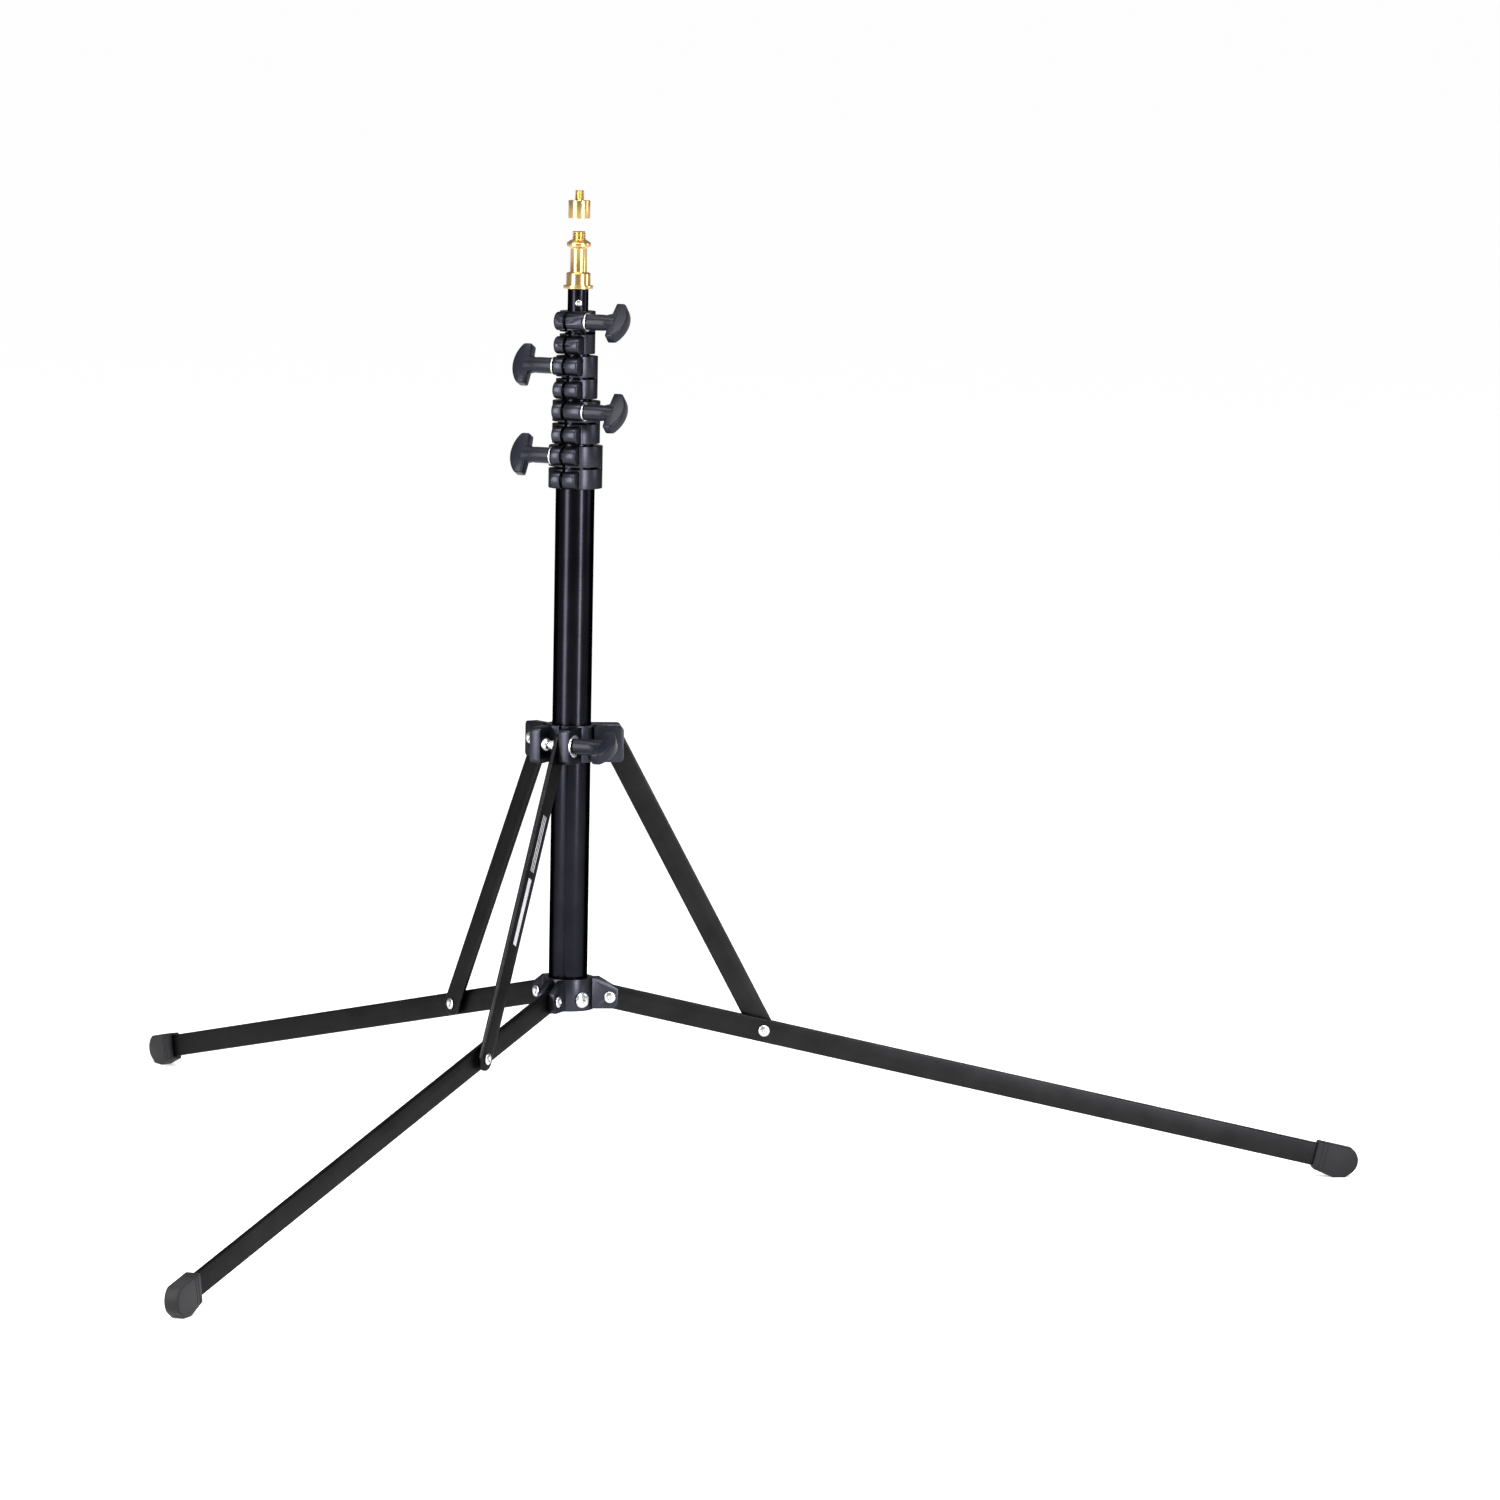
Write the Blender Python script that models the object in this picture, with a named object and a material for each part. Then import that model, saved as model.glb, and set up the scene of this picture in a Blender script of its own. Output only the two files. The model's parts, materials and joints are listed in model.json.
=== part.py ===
"""Compact lighting stand: a five-section column, four locking clamps and three legs that fold up around it.

Metres, +Z up. The floor is z = 0, and the origin is the middle of the stand's footprint. The right leg
points along +X, and the rear and front legs stand 120 degrees to either side of it.
"""

import math

import bmesh
import bpy
from mathutils import Matrix

# Gap between pieces that touch, and how far cutters run past what they cut
GAP = 0.0003
CUT = 0.02

# Directions of the legs, seen from above
LEG_AZIMUTHS = {"right": 0.0, "rear": math.radians(120), "front": math.radians(-120)}
SCREW_AZIMUTH = math.radians(-60)

# Legs, measured along the bar from the hinge pin
PIVOT_RADIUS = 0.0275
LEG_PIVOT_Z = 0.1216
LEG_SLOPE = math.radians(12.56)
BAR_HALF_HEIGHT = 0.0078
BAR_EDGE = 0.0009
LEG_HALF_THICKNESS = 0.0018
LEG_LENGTH = 0.5050
BRACE_PIN_X = 0.1058

# Rubber feet, measured along the leg
FOOT_START = 0.4877
FOOT_SOLE = (0.5030, 0.5110)
FOOT_TIP_X = 0.5072
FOOT_TIP_RADIUS = 0.0102
FOOT_HALF_WIDTH = 0.0050
FOOT_BOTTOM = -0.0096
FOOT_TOP = 0.0094
FOOT_TIP_ARC = (-47, 67)
FOOT_EDGE = 0.0008

# Braces, which hang from the sliding collar
COLLAR_Z = 0.2912
BRACE_FACES = (0.0034, 0.0064)
BRACE_REACH = BRACE_PIN_X * math.cos(LEG_SLOPE)
BRACE_DROP = COLLAR_Z - LEG_PIVOT_Z + BRACE_PIN_X * math.sin(LEG_SLOPE)
BRACE_LENGTH = math.hypot(BRACE_REACH, BRACE_DROP)
BRACE_TILT = math.atan2(BRACE_DROP, BRACE_REACH)

# Rivets and pins
PIN_RADIUS = 0.0022
PIN_HOLE = 0.0025
RIVET_HEAD = 0.0038
RIVET_RISE = 0.0014
WASHER_FACES = (0.0021, 0.0031)
WASHER_RADIUS = 0.0045

# Collars. Each ear pair gives its inner and outer face, from the leg's middle plane.
COLLAR_RADIUS = 0.0170
EAR_ROOT = 0.0060
EAR_INSET = 0.0004
BASE_Z = (0.1135, 0.1345)
BASE_EARS = (0.0021, 0.0062)
BASE_EAR_REACH = 0.0328
BASE_EAR_CHAMFER = (0.0028, 0.0026)
BASE_EAR_SHOULDER = (0.0210, 0.0071)
BASE_SLOT_START = COLLAR_RADIUS + 0.0006
SLIDE_Z = (-0.0128, 0.0114)
SLIDE_EARS = (0.0067, 0.0142)
SLIDE_EAR_REACH = 0.0335
SLIDE_EAR_CORNER = 0.0028
SLIDE_SLOT_START = COLLAR_RADIUS + 0.0003
SLIDE_SLIT = 0.0008

# Base collar's screw: its head is (radius, height above the collar) from the rim to the socket's floor
BASE_SCREW_Z = 0.1210
BASE_SCREW_SHANK = 0.0020
BASE_SCREW_HEAD = (
    (0.00515, 0), (0.0050, 0.0006), (0.0042, 0.0013), (0.0028, 0.0017), (0.0013, 0.0018), (0.0013, 0.0008),
    (0, 0.0008),
)

# Slide collar's nut and bolt
NUT_RADIUS = 0.00445
NUT_FACES = (-0.0064, -0.0026)
COLLAR_BOLT_RADIUS = 0.0030
COLLAR_BOLT_TIP = -0.0132
COLLAR_WASHER = (0.0073, 0.0013)

# Column: outer radii from the fixed tube to the thinnest riser
TUBE_RADII = (0.0128, 0.0113, 0.0098, 0.0083, 0.0068)
TUBE_WALL = 0.0011
TUBE_BOTTOM = 0.1138
PLUG_RADIUS = 0.0114
PLUG_HEIGHT = 0.0037
BUSH_Z = 0.1183
BUSH_STEP = 0.0038
BUSH_HEIGHT = 0.0030

# Clamps, measured up from the lower edge of each
CLAMP_Z = 0.4581
CLAMP_STEP = 0.02927
CLAMP_HEIGHT = 0.0280
CLAMP_SHOULDER = 0.0136
CLAMP_WALL = 0.0049
CLAMP_WALL_STEP = 0.0005
LUG_DISTANCE = 0.0170
LUG_DISTANCE_STEP = 0.00085
LOWER_LUG = (0.0060, 0.0058)
UPPER_LUG = (0.0216, 0.0061)
LUG_ENDS = (-0.0080, 0.0100)
LONG_LUG_END = 0.0132
LUG_BACK = 0.0006
LUG_EDGE = 0.0010
LUG_SLIT = 0.00115
SAW_CUT = (0.0128, 0.0144)
SAW_START = -0.0040
BLIND_END = 0.0015
SPOT_DEPTH = 0.0002
SPOT_RADIUS = 0.0063
BOLT_RADIUS = 0.0026
CLAMP_WASHER = (0.0060, 0.0010)

# Screw in each lower lug
SCREW_RADIUS = 0.0021
SCREW_HEAD = (0.0037, 0.0030)
SCREW_SOCKET = (0.0015, 0.0014)

# T-knobs, measured out from their washer
KNOB_STEM = 0.0053
KNOB_STEM_LENGTH = 0.0200
KNOB_SOCKET = 0.0080
KNOB_HALF_SPAN = 0.0138
KNOB_HALF_THICKNESS = 0.0040
KNOB_WING_Z = 0.0165
KNOB_WING_DROP = 0.0005
KNOB_CROWN_Z = 0.0282
KNOB_CROWN_RADIUS = 0.0203
KNOB_EDGE = 0.0016

# Side of its lug and lean in degrees of each clamp's knob, from the lowest clamp up
CLAMP_KNOBS = ((-1, 25), (1, 40), (-1, 25), (1, 42))
COLLAR_KNOB_LEAN = 62

# Brass stud: (radius, height above the top riser), through the flange, the 16 mm spigot and its groove
STUD_Z = 0.5883
STUD_STEM = -0.0160
STUD_OUTLINE = (
    (0.0098, 0), (0.0098, 0.0022), (0.0080, 0.0022), (0.0080, 0.0100), (0.0055, 0.0107), (0.0055, 0.0262),
    (0.00795, 0.0275), (0.00795, 0.0297), (0.0050, 0.0318),
)
STUD_THREAD = (0.0046, 0.0321, 0.0373)
STUD_PIN_Z = 0.5790
STUD_PIN_RADIUS = 0.0015
STUD_PIN_HEAD = (0.0022, 0.0007)

# Brass adapter: (radius, height) from its socket's end to its seat, where a plain neck starts the stub
ADAPTER_Z = 0.6340
ADAPTER_OUTLINE = (
    (0, 0.0070), (0.0049, 0.0070), (0.0049, 0), (0.0068, 0), (0.0072, 0.0004), (0.0072, 0.0113),
    (0.0068, 0.0117), (0.0033, 0.0117), (0.0033, 0.0123),
)
ADAPTER_THREAD = (0.0031, 0.0123, 0.0182)

ROUND_STEPS = 28
SMALL_STEPS = 14
ALONG_X = Matrix.Rotation(math.radians(90), 4, "Y")
ALONG_Y = Matrix.Rotation(math.radians(-90), 4, "X")
ALONG_MINUS_Y = Matrix.Rotation(math.radians(90), 4, "X")
FRONT_TURN = Matrix.Rotation(LEG_AZIMUTHS["front"], 4, "Z")


def shift(x, y, z):
    return Matrix.Translation((x, y, z))


def spin(angle):
    return Matrix.Rotation(angle, 4, "Z")


def material(name, colour, roughness, metallic):
    made = bpy.data.materials.new(name)
    made.use_nodes = True
    shader = made.node_tree.nodes["Principled BSDF"]
    shader.inputs["Base Color"].default_value = (*colour, 1)
    shader.inputs["Roughness"].default_value = roughness
    shader.inputs["Metallic"].default_value = metallic
    return made


def turned(outline, steps=SMALL_STEPS):
    """Revolves (radius, z) points about Z. The outline runs from axis to axis, or closes away from it."""
    form = bmesh.new()
    rings = []
    for radius, z in outline:
        if radius == 0:
            rings.append([form.verts.new((0, 0, z))] * steps)
            continue
        angles = [math.tau * step / steps for step in range(steps)]
        rings.append([form.verts.new((radius * math.cos(a), radius * math.sin(a), z)) for a in angles])
    pairs = list(zip(rings, rings[1:]))
    if outline[0][0] > 0:
        pairs.append((rings[-1], rings[0]))
    for low, high in pairs:
        for step in range(steps):
            corners = (low[step], low[step - 1], high[step - 1], high[step])
            form.faces.new(list(dict.fromkeys(corners)))
    bmesh.ops.recalc_face_normals(form, faces=form.faces)
    return form


def ring(inner, outer, low, high, steps=SMALL_STEPS):
    return turned([(inner, low), (outer, low), (outer, high), (inner, high)], steps)


def rod(radius, low, high, steps=SMALL_STEPS):
    return turned([(0, low), (radius, low), (radius, high), (0, high)], steps)


def slab(outline, low, high):
    """Extrudes (x, z) points along Y."""
    form = bmesh.new()
    face = form.faces.new([form.verts.new((x, low, z)) for x, z in outline])
    grown = bmesh.ops.extrude_face_region(form, geom=[face])["geom"]
    far = [part for part in grown if isinstance(part, bmesh.types.BMVert)]
    bmesh.ops.translate(form, verts=far, vec=(0, high - low, 0))
    bmesh.ops.recalc_face_normals(form, faces=form.faces)
    return form


def block(x, y, z):
    return slab([(x[0], z[0]), (x[1], z[0]), (x[1], z[1]), (x[0], z[1])], *y)


def arc(centre, radius, start, end, steps):
    """Points of an arc from start to end degrees, both included."""
    angles = [math.radians(start + (end - start) * step / steps) for step in range(steps + 1)]
    return [(centre[0] + radius * math.cos(a), centre[1] + radius * math.sin(a)) for a in angles]


def dome(radius, base, rise, steps=3):
    """Outline of a rivet head, from its rim to the axis; a negative rise points it down."""
    angles = [math.pi / 2 * step / steps for step in range(steps)]
    return [(radius * math.cos(a), base + rise * math.sin(a)) for a in angles] + [(0, base + rise)]


def rivet(low, high, shank=PIN_RADIUS, head=RIVET_HEAD, rise=RIVET_RISE):
    """A shank from low to high with a domed head beyond each end."""
    return turned(dome(head, low, -rise)[::-1] + [(shank, low), (shank, high)] + dome(head, high, rise))


def thread(radius, low, high, pitch=0.0017, depth=0.0005):
    """Outline of a run of thread ridges, upwards."""
    points = []
    for turn in range(round((high - low) / pitch)):
        base = low + turn * pitch
        points += [(radius - depth, base), (radius, base + pitch / 2)]
    return points + [(radius - depth, high)]


def empty(name, parent=None, place=Matrix()):
    made = bpy.data.objects.new(name, None)
    bpy.context.scene.collection.objects.link(made)
    made.parent = parent
    made.matrix_basis = place
    return made


def piece(name, form, finish, parent, place=Matrix()):
    """Turns a bmesh into a named object, smooth where it is round."""
    mesh = bpy.data.meshes.new(name)
    form.to_mesh(mesh)
    form.free()
    mesh.shade_smooth()
    mesh.set_sharp_from_angle(angle=math.radians(32))
    mesh.materials.append(finish)
    made = bpy.data.objects.new(name, mesh)
    bpy.context.scene.collection.objects.link(made)
    made.parent = parent
    made.matrix_basis = place
    return made


def soften(obj, width, segments=2):
    """Rounds the sharp edges."""
    rounding = obj.modifiers.new("Bevel", "BEVEL")
    rounding.width = width
    rounding.segments = segments
    rounding.limit_method = "ANGLE"
    rounding.angle_limit = math.radians(40)


def change(target, operation, form, place=Matrix(), edge=0.0):
    """Adds a form to the target or cuts it away, with a hidden helper in the target's own frame."""
    step = f"{target.name}_{operation.lower()}_{len(target.modifiers)}"
    tool = piece(step, form, target.data.materials[0], target, place)
    tool.hide_render = True
    tool.display_type = "WIRE"
    if edge:
        soften(tool, edge, 1)
    boolean = target.modifiers.new(step, "BOOLEAN")
    boolean.operation = operation
    boolean.solver = "EXACT"
    boolean.object = tool


def add_base_collar(stand):
    """The fixed collar, with a clevis and a hinge rivet for each leg."""
    collar = piece("base_collar", rod(COLLAR_RADIUS, *BASE_Z, ROUND_STEPS), BLACK_CASTING, stand)
    low, high = BASE_Z[0] + EAR_INSET, BASE_Z[1] - EAR_INSET
    reach = BASE_EAR_REACH
    chamfer_x, chamfer_z = BASE_EAR_CHAMFER
    shoulder_x, shoulder_drop = BASE_EAR_SHOULDER
    ear = [(EAR_ROOT, low), (reach - chamfer_x, low), (reach, low + chamfer_z)]
    ear += [(reach, high - shoulder_drop), (shoulder_x, high), (EAR_ROOT, high)]
    near, far = BASE_EARS
    for azimuth in LEG_AZIMUTHS.values():
        change(collar, "UNION", slab(ear, -far, far), spin(azimuth))
    span = (BASE_Z[0] - CUT, BASE_Z[1] + CUT)
    slot = ((BASE_SLOT_START, reach + CUT), (-near, near), span)
    for azimuth in LEG_AZIMUTHS.values():
        change(collar, "DIFFERENCE", block(*slot), spin(azimuth))
        hole = spin(azimuth) @ shift(PIVOT_RADIUS, 0, LEG_PIVOT_Z) @ ALONG_Y
        change(collar, "DIFFERENCE", rod(PIN_HOLE, -CUT, CUT), hole)
    bore = TUBE_RADII[0] + GAP
    change(collar, "DIFFERENCE", rod(bore, *span, ROUND_STEPS))
    screw_place = shift(0, 0, BASE_SCREW_Z) @ spin(SCREW_AZIMUTH) @ ALONG_X
    change(collar, "DIFFERENCE", rod(BASE_SCREW_SHANK + GAP, 0, CUT), screw_place)
    for name, azimuth in LEG_AZIMUTHS.items():
        place = spin(azimuth) @ shift(PIVOT_RADIUS, 0, LEG_PIVOT_Z) @ ALONG_Y
        piece(f"leg_rivet_{name}", rivet(-far - GAP, far + GAP), STEEL, stand, place)
    seat = COLLAR_RADIUS + GAP
    screw = [(0, bore), (BASE_SCREW_SHANK, bore), (BASE_SCREW_SHANK, seat)]
    screw += [(radius, seat + rise) for radius, rise in BASE_SCREW_HEAD]
    piece("base_collar_screw", turned(screw), STEEL, stand, screw_place)


def sole_height(x):
    """Height of the floor under the leg's middle line, in the leg's own frame."""
    return (x * math.sin(LEG_SLOPE) - LEG_PIVOT_Z) / math.cos(LEG_SLOPE)


def bar(length, low, high, round_end):
    """A flat bar with a round end about its pin, along +X."""
    h = BAR_HALF_HEIGHT
    end = arc((length, 0), h, -90, 90, 8) if round_end else [(length, -h), (length, h)]
    return slab(arc((0, 0), h, 90, 270, 8) + end, low, high)


def add_leg(name, azimuth, stand):
    place = spin(azimuth) @ shift(PIVOT_RADIUS, 0, LEG_PIVOT_Z) @ Matrix.Rotation(LEG_SLOPE, 4, "Y")
    hinge = empty(f"leg_hinge_{name}", stand, place)
    half = LEG_HALF_THICKNESS
    leg = piece(f"leg_{name}", bar(LEG_LENGTH, -half, half, False), BLACK_METAL, hinge)
    soften(leg, BAR_EDGE)
    for distance in (0, BRACE_PIN_X):
        change(leg, "DIFFERENCE", rod(PIN_HOLE, -CUT, CUT), shift(distance, 0, 0) @ ALONG_Y)
    pin = dome(RIVET_HEAD, -half - GAP, -RIVET_RISE)[::-1]
    pin += [(PIN_RADIUS, -half - GAP), (PIN_RADIUS, half), (0, half)]
    piece(f"leg_pin_{name}", turned(pin), STEEL, hinge, shift(BRACE_PIN_X, 0, 0) @ ALONG_Y)
    return add_foot(name, hinge)


def add_foot(name, hinge):
    """The rubber cap on the leg's end, cut flat where it stands on the floor."""
    outline = [(FOOT_START, FOOT_BOTTOM)] + [(x, sole_height(x)) for x in FOOT_SOLE]
    outline += arc((FOOT_TIP_X, 0), FOOT_TIP_RADIUS, *FOOT_TIP_ARC, 8) + [(FOOT_START, FOOT_TOP)]
    foot = piece(f"foot_{name}", slab(outline, -FOOT_HALF_WIDTH, FOOT_HALF_WIDTH), RUBBER, hinge)
    soften(foot, FOOT_EDGE)
    half, height = LEG_HALF_THICKNESS + GAP, BAR_HALF_HEIGHT + GAP
    pocket = block((FOOT_START - CUT, LEG_LENGTH + GAP), (-half, half), (-height, height))
    change(foot, "DIFFERENCE", pocket)
    return foot


def add_slide_collar(slider):
    """The split collar that carries the braces; its knob's bolt is also the front brace's pin."""
    low, high = SLIDE_Z
    collar = piece("slide_collar", rod(COLLAR_RADIUS, low, high, ROUND_STEPS), BLACK_CASTING, slider)
    near, far = SLIDE_EARS
    corner = SLIDE_EAR_CORNER
    middle = SLIDE_EAR_REACH - corner
    ear_low, ear_high = low + EAR_INSET, high - EAR_INSET
    ear = [(EAR_ROOT, ear_low)] + arc((middle, ear_low + corner), corner, -90, 0, 3)
    ear += arc((middle, ear_high - corner), corner, 0, 90, 3) + [(EAR_ROOT, ear_high)]
    for azimuth in LEG_AZIMUTHS.values():
        change(collar, "UNION", slab(ear, -far, far), spin(azimuth))
    slot = ((SLIDE_SLOT_START, SLIDE_EAR_REACH + CUT), (-near, near), (-CUT, CUT))
    for azimuth in LEG_AZIMUTHS.values():
        change(collar, "DIFFERENCE", block(*slot), spin(azimuth))
    change(collar, "DIFFERENCE", rod(TUBE_RADII[0] + GAP, -CUT, CUT, ROUND_STEPS))
    slit = block((0, CUT), (-SLIDE_SLIT, SLIDE_SLIT), (-CUT, CUT))
    change(collar, "DIFFERENCE", slit, FRONT_TURN)
    pin_place = shift(PIVOT_RADIUS, 0, 0) @ ALONG_Y
    bolt_hole = rod(COLLAR_BOLT_RADIUS + GAP, COLLAR_BOLT_TIP - GAP, CUT)
    change(collar, "DIFFERENCE", bolt_hole, FRONT_TURN @ pin_place)
    nut = ring(COLLAR_BOLT_RADIUS + GAP, NUT_RADIUS, *NUT_FACES)
    piece("collar_nut", nut, STEEL, slider, FRONT_TURN @ pin_place)
    for name in ("right", "rear"):
        place = spin(LEG_AZIMUTHS[name]) @ pin_place
        change(collar, "DIFFERENCE", rod(PIN_HOLE, 0, CUT), place)
        shank = [(0, BRACE_FACES[0] - GAP), (PIN_RADIUS, BRACE_FACES[0] - GAP), (PIN_RADIUS, far + GAP)]
        form = turned(shank + dome(RIVET_HEAD, far + GAP, RIVET_RISE))
        piece(f"brace_rivet_{name}", form, STEEL, slider, place)
    hinge = empty("collar_knob_axis", slider, FRONT_TURN @ shift(PIVOT_RADIUS, far, 0) @ ALONG_Y)
    turn = math.radians(90 - COLLAR_KNOB_LEAN)
    add_knob("collar", hinge, turn, COLLAR_WASHER, COLLAR_BOLT_RADIUS, COLLAR_BOLT_TIP - far)


def add_brace(name, azimuth, slider):
    tilt = Matrix.Rotation(BRACE_TILT, 4, "Y")
    hinge = empty(f"brace_hinge_{name}", slider, spin(azimuth) @ shift(PIVOT_RADIUS, 0, 0) @ tilt)
    low, high = BRACE_FACES
    brace = piece(f"brace_{name}", bar(BRACE_LENGTH, low, high, True), BLACK_METAL, hinge)
    soften(brace, BAR_EDGE)
    upper = COLLAR_BOLT_RADIUS + GAP if name == "front" else PIN_HOLE
    for distance, radius in ((0, upper), (BRACE_LENGTH, PIN_HOLE)):
        change(brace, "DIFFERENCE", rod(radius, -CUT, CUT), shift(distance, 0, 0) @ ALONG_Y)
    under, over = WASHER_FACES
    pin = [(0, under), (WASHER_RADIUS, under), (WASHER_RADIUS, over), (PIN_RADIUS, over)]
    pin += [(PIN_RADIUS, high + GAP)] + dome(RIVET_HEAD, high + GAP, RIVET_RISE)
    piece(f"brace_pin_{name}", turned(pin), STEEL, hinge, shift(BRACE_LENGTH, 0, 0) @ ALONG_Y)


def add_knob(group, axis, turn, washer, bolt_radius, bolt_start, suffix=""):
    """A T-knob with its washer and bolt, out along the axis empty's Z."""
    washer_radius, washer_height = washer
    seat = 2 * GAP + washer_height
    form = ring(bolt_radius + GAP, washer_radius, GAP, GAP + washer_height)
    piece(f"{group}_washer{suffix}", form, STEEL, axis)
    piece(f"{group}_bolt{suffix}", rod(bolt_radius, bolt_start, seat + KNOB_SOCKET - GAP), STEEL, axis)
    centre = KNOB_CROWN_Z - KNOB_CROWN_RADIUS
    lean = math.degrees(math.asin(KNOB_HALF_SPAN / KNOB_CROWN_RADIUS))
    base = KNOB_WING_Z + KNOB_WING_DROP
    wing = [(KNOB_HALF_SPAN, base)] + arc((0, centre), KNOB_CROWN_RADIUS, 90 - lean, 90 + lean, 6)
    wing += [(-KNOB_HALF_SPAN, base), (-KNOB_STEM, KNOB_WING_Z), (KNOB_STEM, KNOB_WING_Z)]
    form = slab(wing, -KNOB_HALF_THICKNESS, KNOB_HALF_THICKNESS)
    knob = piece(f"{group}_knob{suffix}", form, BLACK_PLASTIC, axis, shift(0, 0, seat) @ spin(turn))
    soften(knob, KNOB_EDGE)
    change(knob, "UNION", rod(KNOB_STEM, 0, KNOB_STEM_LENGTH, 16))
    change(knob, "DIFFERENCE", rod(bolt_radius + GAP, -CUT, KNOB_SOCKET))


def clamp_z(level):
    return CLAMP_Z + level * CLAMP_STEP


def lug(distance, back, size, low, high):
    """Half-round lug, its round side out, along Y; its back is inside the sleeve's wall."""
    z, radius = size
    outline = arc((distance, z), radius, -90, 90, 8) + [(back, z + radius), (back, z - radius)]
    return slab(outline, low, high)


def add_clamp(level, carrier):
    """Split clamp on one tube: its lower band is fixed there, its upper band grips the next riser."""
    place = shift(0, 0, clamp_z(level)) @ FRONT_TURN
    outer = TUBE_RADII[level] + CLAMP_WALL - CLAMP_WALL_STEP * level
    distance = LUG_DISTANCE - LUG_DISTANCE_STEP * level
    side, lean = CLAMP_KNOBS[level]
    low, high = LUG_ENDS
    upper_high = LONG_LUG_END if side > 0 else high
    face, far_end = (upper_high, low) if side > 0 else (low, upper_high)
    wide, narrow = TUBE_RADII[level] + GAP, TUBE_RADII[level + 1] + GAP
    sleeve = [(wide, 0), (outer, 0), (outer, CLAMP_HEIGHT), (narrow, CLAMP_HEIGHT)]
    sleeve += [(narrow, CLAMP_SHOULDER), (wide, CLAMP_SHOULDER)]
    clamp = piece(f"clamp_{level + 1}", turned(sleeve, ROUND_STEPS), BLACK_CASTING, carrier, place)
    back = wide + LUG_BACK
    change(clamp, "UNION", lug(distance, back, LOWER_LUG, low, high), edge=LUG_EDGE)
    ends = sorted((face + side * SPOT_DEPTH, far_end))
    change(clamp, "UNION", lug(distance, back, UPPER_LUG, *ends), edge=LUG_EDGE)
    past = outer + CUT
    slit = block((0, past), (-LUG_SLIT, LUG_SLIT), (-CUT, CLAMP_HEIGHT + CUT))
    change(clamp, "DIFFERENCE", slit)
    change(clamp, "DIFFERENCE", block((SAW_START, past), (-past, past), SAW_CUT))
    add_clamp_screw(level, clamp, carrier, place @ shift(distance, 0, LOWER_LUG[0]) @ ALONG_Y)
    along = ALONG_Y if side > 0 else ALONG_MINUS_Y
    reach = abs(face - far_end) - BLIND_END
    knob_place = shift(distance, face, UPPER_LUG[0]) @ along
    hole = BOLT_RADIUS + GAP
    drill = [(0, -reach), (hole, -reach), (hole, 0), (SPOT_RADIUS, 0), (SPOT_RADIUS, CUT), (0, CUT)]
    change(clamp, "DIFFERENCE", turned(drill), knob_place)
    axis = empty(f"clamp_knob_axis_{level + 1}", carrier, place @ knob_place)
    turn = math.radians(90 - side * lean)
    add_knob("clamp", axis, turn, CLAMP_WASHER, BOLT_RADIUS, GAP - reach, f"_{level + 1}")


def add_clamp_screw(level, clamp, carrier, place):
    """Socket screw sunk in the lower lug's far end."""
    top, tip = LUG_ENDS[0] + GAP, LUG_ENDS[1] - BLIND_END - GAP
    head_radius, head_height = SCREW_HEAD
    socket_radius, socket_depth = SCREW_SOCKET
    under = top - GAP + head_height
    hole, sink = SCREW_RADIUS + GAP, head_radius + GAP
    drill = [(0, -CUT), (sink, -CUT), (sink, under), (hole, under), (hole, tip + GAP), (0, tip + GAP)]
    change(clamp, "DIFFERENCE", turned(drill), clamp.matrix_basis.inverted() @ place)
    screw = [(0, top + socket_depth), (socket_radius, top + socket_depth), (socket_radius, top)]
    screw += [(head_radius, top), (head_radius, under - GAP), (SCREW_RADIUS, under - GAP)]
    screw += [(SCREW_RADIUS, tip), (0, tip)]
    piece(f"clamp_screw_{level + 1}", turned(screw), STEEL, carrier, place)


def tube_top(level):
    """A tube ends at the shoulder inside its clamp, and the last one under the stud."""
    return STUD_Z - GAP if level == 4 else clamp_z(level) + CLAMP_SHOULDER - GAP


def add_tube(name, level, bottom, carrier):
    outer = TUBE_RADII[level]
    form = ring(outer - TUBE_WALL, outer, bottom, tube_top(level), ROUND_STEPS)
    return piece(name, form, BLACK_METAL, carrier)


def add_riser(level, below):
    """One riser with the bush on its foot; returns the empty that carries it."""
    carrier = empty(f"riser_axis_{level}", below)
    base = BUSH_Z + BUSH_STEP * (level - 1)
    bush_radius = TUBE_RADII[level - 1] - TUBE_WALL - GAP
    piece(f"riser_bush_{level}", rod(bush_radius, base, base + BUSH_HEIGHT, ROUND_STEPS), NYLON, carrier)
    tube = add_tube(f"riser_{level}", level, base + BUSH_HEIGHT + GAP, carrier)
    if level == 4:
        hole = rod(STUD_PIN_RADIUS + GAP, -CUT, CUT)
        change(tube, "DIFFERENCE", hole, shift(0, 0, STUD_PIN_Z) @ ALONG_Y)
    return carrier


def add_stud(carrier):
    """Brass stud: stem, flange, 16 mm spigot with its groove, and a 3/8 inch thread."""
    stem = TUBE_RADII[4] - TUBE_WALL - GAP
    outline = [(0, STUD_STEM), (stem, STUD_STEM), (stem, 0), *STUD_OUTLINE]
    outline += thread(*STUD_THREAD) + [(0, STUD_THREAD[2])]
    stud = piece("stud", turned(outline, ROUND_STEPS), BRASS, carrier, shift(0, 0, STUD_Z))
    hole = shift(0, 0, STUD_PIN_Z - STUD_Z) @ ALONG_Y
    change(stud, "DIFFERENCE", rod(STUD_PIN_RADIUS + GAP, -CUT, CUT), hole)
    end = TUBE_RADII[4] + GAP
    form = rivet(-end, end, STUD_PIN_RADIUS, *STUD_PIN_HEAD)
    piece("stud_pin", form, STEEL, carrier, shift(0, 0, STUD_PIN_Z) @ ALONG_Y)


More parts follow.
